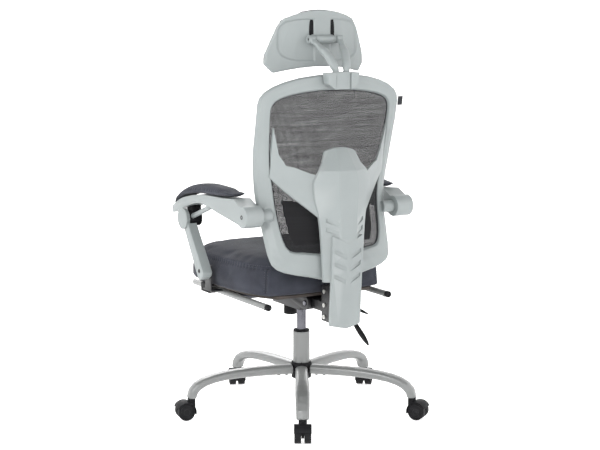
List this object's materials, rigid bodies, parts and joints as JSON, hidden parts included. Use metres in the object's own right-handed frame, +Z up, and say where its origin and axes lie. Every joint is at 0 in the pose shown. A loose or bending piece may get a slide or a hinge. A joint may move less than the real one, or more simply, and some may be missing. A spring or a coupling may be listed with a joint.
{
  "type": "reclining office chair",
  "caption": "High-back swivel chair with mesh back, Y-shaped spine, headrest, arms linked to the recline, and a stowed slide-out footrest on a star base with casters.",
  "frame": {"origin": "on the floor, at the middle of the chair's footprint", "axes": "+Z up; the sitter faces -Y; +X is the sitter's left"},
  "size_m": [0.741, 0.7378, 1.186],
  "materials": {
    "grey_plastic": "satin",
    "painted_steel": "satin",
    "black_plastic": "satin",
    "black_steel": "satin",
    "polished_steel": "polished",
    "seat_cloth": "matte",
    "back_mesh_cloth": "matte",
    "plywood": "matte",
    "wheel_plastic": "satin"
  },
  "bodies": {
    "base": {"base_hub": "black_plastic", "base_leg_1": "painted_steel", "base_leg_2": "painted_steel", "base_leg_3": "painted_steel", "base_leg_4": "painted_steel", "base_leg_5": "painted_steel", "lower_column": "painted_steel", "column_collar": "black_plastic"},
    "lift_column": {"gas_piston": "polished_steel"},
    "seat": {"tilt_housing": "black_steel", "back_pivot_shaft": "polished_steel", "seat_plate": "black_steel", "seat_pan": "plywood", "seat_cushion": "seat_cloth", "footrest_guide_left": "black_plastic", "footrest_guide_right": "black_plastic", "strut_bracket_left": "black_steel", "strut_bracket_right": "black_steel"},
    "height_lever_arm": {"height_lever": "black_plastic"},
    "recline_lever_arm": {"recline_lever": "black_plastic"},
    "knob": {"tension_knob": "black_plastic"},
    "footrest_slider": {"footrest_frame": "painted_steel"},
    "footrest": {"footrest_board": "black_plastic", "footrest_pad": "seat_cloth"},
    "back": {"back_frame": "grey_plastic", "back_mesh": "back_mesh_cloth", "lumbar_pad": "seat_cloth", "spine_cover": "grey_plastic", "back_spine": "grey_plastic", "back_bracket": "black_steel", "headrest_block": "grey_plastic"},
    "headrest_carrier": {"headrest_fork": "grey_plastic"},
    "headrest": {"headrest_shell": "grey_plastic", "headrest_pin": "black_steel", "headrest_pad": "seat_cloth"},
    "arm_left": {"arm_beam_left": "grey_plastic", "arm_drum_left": "black_plastic", "arm_pad_left": "seat_cloth"},
    "strut_left": {"strut_left": "grey_plastic", "hub_cap_left": "grey_plastic"},
    "arm_right": {"arm_beam_right": "grey_plastic", "arm_drum_right": "black_plastic", "arm_pad_right": "seat_cloth"},
    "strut_right": {"strut_right": "grey_plastic", "hub_cap_right": "grey_plastic"},
    "caster_1": {"caster_1_hood": "black_plastic"},
    "caster_1_a": {"caster_1_wheel_a": "wheel_plastic"},
    "caster_1_b": {"caster_1_wheel_b": "wheel_plastic"},
    "caster_2": {"caster_2_hood": "black_plastic"},
    "caster_2_a": {"caster_2_wheel_a": "wheel_plastic"},
    "caster_2_b": {"caster_2_wheel_b": "wheel_plastic"},
    "caster_3": {"caster_3_hood": "black_plastic"},
    "caster_3_a": {"caster_3_wheel_a": "wheel_plastic"},
    "caster_3_b": {"caster_3_wheel_b": "wheel_plastic"},
    "caster_4": {"caster_4_hood": "black_plastic"},
    "caster_4_a": {"caster_4_wheel_a": "wheel_plastic"},
    "caster_4_b": {"caster_4_wheel_b": "wheel_plastic"},
    "caster_5": {"caster_5_hood": "black_plastic"},
    "caster_5_a": {"caster_5_wheel_a": "wheel_plastic"},
    "caster_5_b": {"caster_5_wheel_b": "wheel_plastic"}
  },
  "joints": [
    {"name": "seat_height", "type": "slide", "parent": "base", "child": "lift_column", "axis": [0, 0, 1], "range_m": [-0.05, 0.04]},
    {"name": "seat_swivel", "type": "hinge", "parent": "lift_column", "child": "seat", "pos_m": [-0.012, 0.021, 0.3], "axis": [0, 0, 1], "continuous": true},
    {"name": "recline", "type": "hinge", "parent": "seat", "child": "back", "pos_m": [-0.012, 0.121, 0.345], "axis": [-1, 0, 0], "range_deg": [0, 35], "stiffness_Nm_per_rad": 30, "springref_deg": -20.05},
    {"name": "arm_left_hinge", "type": "hinge", "parent": "back", "child": "arm_left", "pos_m": [0.21, 0.169, 0.617], "axis": [-1, 0, 0], "range_deg": [-18.5, 0]},
    {"name": "strut_left_hinge", "type": "hinge", "parent": "seat", "child": "strut_left", "pos_m": [0.244, -0.085, 0.428], "axis": [-1, 0, 0], "range_deg": [0, 52.4]},
    {"name": "arm_right_hinge", "type": "hinge", "parent": "back", "child": "arm_right", "pos_m": [-0.234, 0.169, 0.617], "axis": [-1, 0, 0], "range_deg": [-18.5, 0]},
    {"name": "strut_right_hinge", "type": "hinge", "parent": "seat", "child": "strut_right", "pos_m": [-0.268, -0.085, 0.428], "axis": [-1, 0, 0], "range_deg": [0, 52.4]},
    {"name": "headrest_height", "type": "slide", "parent": "back", "child": "headrest_carrier", "axis": [0, 0, 1], "range_m": [0, 0.035]},
    {"name": "headrest_tilt", "type": "hinge", "parent": "headrest_carrier", "child": "headrest", "pos_m": [-0.012, 0.154, 1.104], "axis": [1, 0, 0], "range_deg": [-20, 20]},
    {"name": "footrest_slide", "type": "slide", "parent": "seat", "child": "footrest_slider", "axis": [0, -1, 0], "range_m": [0, 0.3]},
    {"name": "footrest_flip", "type": "hinge", "parent": "footrest_slider", "child": "footrest", "pos_m": [-0.012, -0.276, 0.357], "axis": [1, 0, 0], "range_deg": [-160, 0]},
    {"name": "height_lever_pull", "type": "hinge", "parent": "seat", "child": "height_lever_arm", "pos_m": [-0.059, 0.023, 0.336], "axis": [0, 1, 0], "range_deg": [0, 10], "stiffness_Nm_per_rad": 0.6, "springref_deg": -8.59},
    {"name": "recline_lever_pull", "type": "hinge", "parent": "seat", "child": "recline_lever_arm", "pos_m": [-0.059, 0.067, 0.334], "axis": [0, 1, 0], "range_deg": [0, 10], "stiffness_Nm_per_rad": 0.8, "springref_deg": -8.59},
    {"name": "tension_knob_turn", "type": "hinge", "parent": "seat", "child": "knob", "pos_m": [-0.012, -0.045, 0.3], "axis": [0, 0, 1], "range_deg": [-180, 180]},
    {"name": "caster_1_swivel", "type": "hinge", "parent": "base", "child": "caster_1", "pos_m": [0.15476, 0.31695, 0.062], "axis": [0, 0, 1], "continuous": true},
    {"name": "caster_2_swivel", "type": "hinge", "parent": "base", "child": "caster_2", "pos_m": [-0.24194, 0.27105, 0.062], "axis": [0, 0, 1], "continuous": true},
    {"name": "caster_3_swivel", "type": "hinge", "parent": "base", "child": "caster_3", "pos_m": [-0.32087, -0.12041, 0.062], "axis": [0, 0, 1], "continuous": true},
    {"name": "caster_4_swivel", "type": "hinge", "parent": "base", "child": "caster_4", "pos_m": [0.02704, -0.31645, 0.062], "axis": [0, 0, 1], "continuous": true},
    {"name": "caster_5_swivel", "type": "hinge", "parent": "base", "child": "caster_5", "pos_m": [0.321, -0.04614, 0.062], "axis": [0, 0, 1], "continuous": true},
    {"name": "caster_1_roll_a", "type": "hinge", "parent": "caster_1", "child": "caster_1_a", "pos_m": [0.16476, 0.33427, 0.02462], "axis": [-0.866, 0.5, 0], "continuous": true},
    {"name": "caster_1_roll_b", "type": "hinge", "parent": "caster_1", "child": "caster_1_b", "pos_m": [0.16476, 0.33427, 0.02462], "axis": [-0.866, 0.5, 0], "continuous": true},
    {"name": "caster_2_roll_a", "type": "hinge", "parent": "caster_2", "child": "caster_2_a", "pos_m": [-0.25341, 0.28743, 0.02462], "axis": [-0.8192, -0.5736, 0], "continuous": true},
    {"name": "caster_2_roll_b", "type": "hinge", "parent": "caster_2", "child": "caster_2_b", "pos_m": [-0.25341, 0.28743, 0.02462], "axis": [-0.8192, -0.5736, 0], "continuous": true},
    {"name": "caster_3_roll_a", "type": "hinge", "parent": "caster_3", "child": "caster_3_a", "pos_m": [-0.33425, -0.13527, 0.02462], "axis": [0.7431, -0.6691, 0], "continuous": true},
    {"name": "caster_3_roll_b", "type": "hinge", "parent": "caster_3", "child": "caster_3_b", "pos_m": [-0.33425, -0.13527, 0.02462], "axis": [0.7431, -0.6691, 0], "continuous": true},
    {"name": "caster_4_roll_a", "type": "hinge", "parent": "caster_4", "child": "caster_4_a", "pos_m": [0.0202, -0.33524, 0.02462], "axis": [0.9397, -0.342, 0], "continuous": true},
    {"name": "caster_4_roll_b", "type": "hinge", "parent": "caster_4", "child": "caster_4_b", "pos_m": [0.0202, -0.33524, 0.02462], "axis": [0.9397, -0.342, 0], "continuous": true},
    {"name": "caster_5_roll_a", "type": "hinge", "parent": "caster_5", "child": "caster_5_a", "pos_m": [0.34069, -0.04962, 0.02462], "axis": [0.1736, 0.9848, 0], "continuous": true},
    {"name": "caster_5_roll_b", "type": "hinge", "parent": "caster_5", "child": "caster_5_b", "pos_m": [0.34069, -0.04962, 0.02462], "axis": [0.1736, 0.9848, 0], "continuous": true}
  ],
  "couplings": [
    {"joint": "arm_left_hinge", "follows": "recline", "ratio": -0.513},
    {"joint": "strut_left_hinge", "follows": "recline", "ratio": 1.483},
    {"joint": "arm_right_hinge", "follows": "recline", "ratio": -0.513},
    {"joint": "strut_right_hinge", "follows": "recline", "ratio": 1.483}
  ]
}
